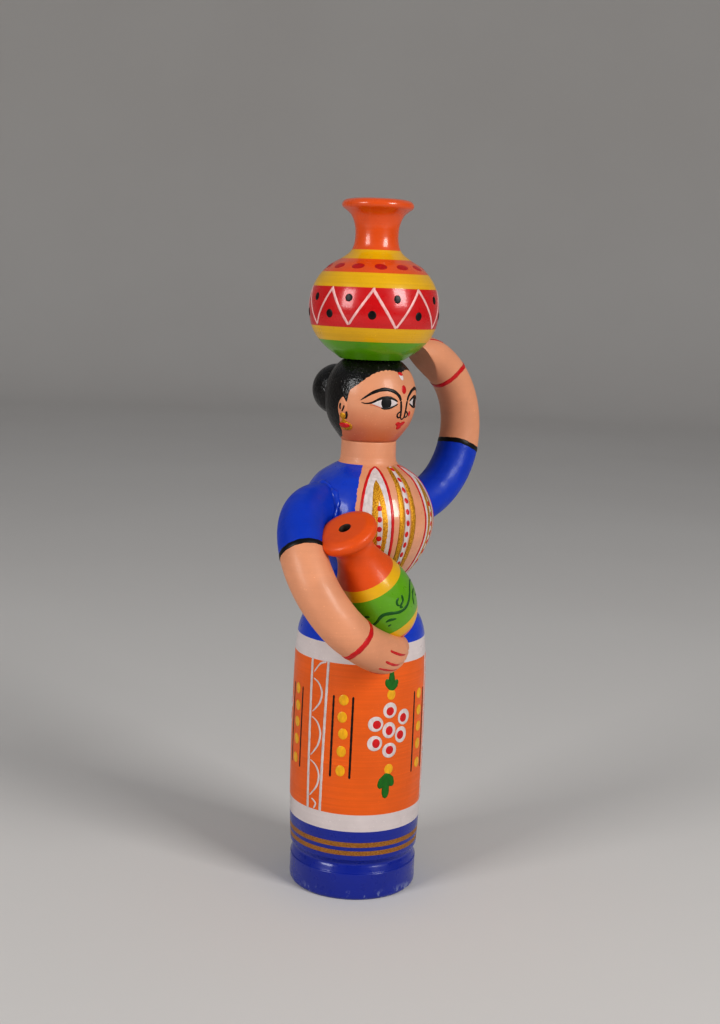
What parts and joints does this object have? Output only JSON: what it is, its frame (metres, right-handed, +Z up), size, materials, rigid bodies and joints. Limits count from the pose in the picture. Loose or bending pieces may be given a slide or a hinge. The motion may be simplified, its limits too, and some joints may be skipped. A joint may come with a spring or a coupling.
{
  "type": "turned wooden water carrier doll",
  "caption": "Turned and lacquered wooden doll of a woman with a water pot on her head and a small pot under one arm; the head turns and the pot lifts off.",
  "frame": {"origin": "centre of the flat base", "axes": "+Z up along the turning axis, the chest faces -Y, the doll's left hand is on +X"},
  "size_m": [0.1062, 0.069, 0.254],
  "materials": {
    "skirt_lacquer": "gloss lacquer in turned colour bands, brush-painted patterns",
    "skin_lacquer": "gloss lacquer, brush-painted details",
    "sleeve_lacquer": "gloss lacquer sleeves on skin-coloured arms",
    "hair_lacquer": "gloss lacquer",
    "pot_lacquer": "gloss lacquer in turned colour bands, brush-painted patterns",
    "small_pot_lacquer": "satin lacquer in turned colour bands",
    "plain_wood": "bare turned dowel",
    "steel_wire": "drawn wire"
  },
  "bodies": {
    "figure": {"skirt": "skirt_lacquer", "torso": "skin_lacquer", "waist_dowel": "plain_wood", "neck_dowel": "plain_wood", "right_arm": "sleeve_lacquer", "left_arm": "sleeve_lacquer", "right_shoulder_peg": "plain_wood", "left_shoulder_peg": "plain_wood", "small_pot": "small_pot_lacquer", "small_pot_pin": "steel_wire", "right_hand_pin": "steel_wire"},
    "head": {"head": "skin_lacquer", "hair_bun": "hair_lacquer", "bun_peg": "plain_wood"},
    "peg": {"pot_peg": "plain_wood"},
    "pot": {"head_pot": "pot_lacquer"}
  },
  "joints": [
    {"name": "head_turn", "type": "hinge", "parent": "figure", "child": "head", "pos_m": [0, 0, 0.168], "axis": [0, 0, 1], "continuous": true},
    {"name": "pot_turn", "type": "hinge", "parent": "head", "child": "peg", "pos_m": [0, 0, 0.1972], "axis": [0, 0, 1], "continuous": true},
    {"name": "pot_lift", "type": "slide", "parent": "peg", "child": "pot", "axis": [0, 0, 1], "range_m": [0, 0.009]}
  ]
}
